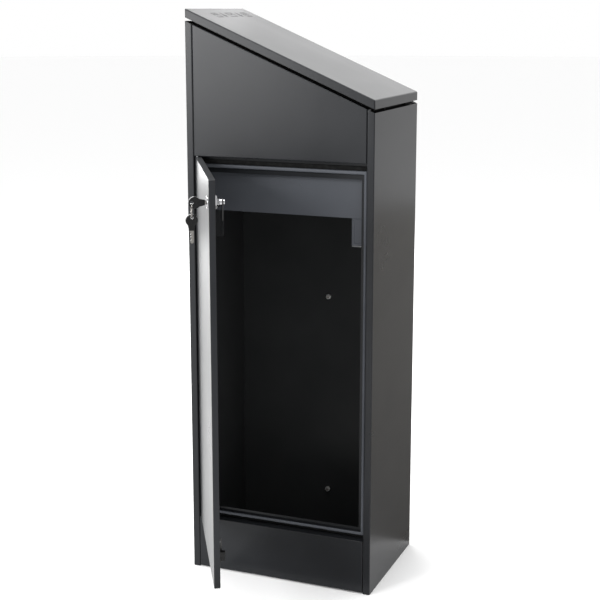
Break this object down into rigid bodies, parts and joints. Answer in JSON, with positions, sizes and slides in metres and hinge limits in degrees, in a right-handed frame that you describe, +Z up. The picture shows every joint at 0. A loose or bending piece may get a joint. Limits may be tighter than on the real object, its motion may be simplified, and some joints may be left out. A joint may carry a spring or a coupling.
{
  "type": "parcel drop box",
  "caption": "Free-standing steel parcel box with a sloping lift-up lid, a sprung letter flap in a satin front strip and a key-locked rear door, stored with the door ajar.",
  "frame": {"origin": "middle of the 400 x 280 mm footprint, on the floor", "axes": "+Z up, +X to the high side of the sloping lid, -Y to the front with the letter slot, +Y to the rear with the door"},
  "size_m": [0.4, 0.5962, 1.18],
  "materials": {
    "dark_powder_coat": "fine-textured satin anthracite powder coat",
    "satin_strip": "fine satin warm silver",
    "zinc_steel": "bright zinc-plated steel",
    "black_steel": "black passivated steel, satin",
    "chrome": "polished chrome",
    "key_steel": "nickel-plated, lightly worn",
    "black_plastic": "satin moulded black",
    "rubber": "matt black"
  },
  "bodies": {
    "housing": {"low_side_panel": "dark_powder_coat", "high_side_panel": "dark_powder_coat", "front_panel": "dark_powder_coat", "front_trim_strip": "satin_strip", "rear_top_panel": "dark_powder_coat", "rear_plinth_panel": "dark_powder_coat", "door_frame": "dark_powder_coat", "floor_plate": "dark_powder_coat", "top_collar": "dark_powder_coat", "chute_guard_plate": "dark_powder_coat", "guard_bracket_low": "dark_powder_coat", "guard_bracket_high": "dark_powder_coat", "letter_flap_housing": "zinc_steel", "letter_flap_pin": "zinc_steel", "letter_flap_spring": "zinc_steel", "lid_hinge_fixed_leaf": "zinc_steel", "lid_hinge_pin": "zinc_steel", "lid_buffer_1": "rubber", "lid_buffer_2": "rubber", "door_hinge_pin_top": "zinc_steel", "door_hinge_pin_bottom": "zinc_steel", "door_thrust_washer": "black_plastic", "trim_nut_1": "chrome", "trim_nut_2": "chrome", "trim_nut_3": "chrome", "trim_nut_4": "chrome", "trim_nut_5": "chrome", "trim_nut_6": "chrome"},
    "lid": {"lid_shell": "dark_powder_coat", "lid_hinge_moving_leaf": "zinc_steel"},
    "letter_flap": {"letter_flap": "satin_strip"},
    "door": {"door_shell": "dark_powder_coat", "door_lock_channel": "dark_powder_coat", "door_stiffener": "dark_powder_coat", "door_hinge_block_top": "zinc_steel", "door_hinge_block_bottom": "zinc_steel", "lock_body": "chrome", "lock_nut": "chrome", "catch_bracket": "black_steel", "catch_magnet": "black_plastic", "catch_screw": "chrome"},
    "lock_plug": {"lock_plug": "chrome", "lock_cam": "black_steel", "cam_screw": "chrome", "key_blade": "key_steel", "key_head": "black_plastic"},
    "key_ring": {"key_ring": "key_steel"},
    "spare_key": {"spare_key_blade": "key_steel", "spare_key_head": "black_plastic"}
  },
  "joints": [
    {"name": "lid_hinge", "type": "hinge", "parent": "housing", "child": "lid", "pos_m": [0.1957, 0, 1.1605], "axis": [0, 1, 0], "range_deg": [0, 65]},
    {"name": "letter_flap_hinge", "type": "hinge", "parent": "housing", "child": "letter_flap", "pos_m": [-0.0814, -0.1255, 0.8], "axis": [0, 0, -1], "range_deg": [0, 60], "stiffness_Nm_per_rad": 0.02, "springref_deg": -20.05},
    {"name": "door_hinge", "type": "hinge", "parent": "housing", "child": "door", "pos_m": [0.1788, 0.1358, 0.5], "axis": [0, 0, -1], "range_deg": [-60, 45]},
    {"name": "lock_turn", "type": "hinge", "parent": "door", "child": "lock_plug", "pos_m": [0.01404, 0.42958, 0.842], "axis": [0.866, 0.5, 0], "range_deg": [0, 90]},
    {"name": "key_ring_swing", "type": "hinge", "parent": "lock_plug", "child": "key_ring", "pos_m": [0.03915, 0.44408, 0.8404], "axis": [0.866, 0.5, 0], "range_deg": [-20, 20]},
    {"name": "spare_key_swing", "type": "hinge", "parent": "key_ring", "child": "spare_key", "pos_m": [0.03915, 0.44408, 0.8144], "axis": [0.5, -0.866, 0], "range_deg": [-25, 25]}
  ]
}
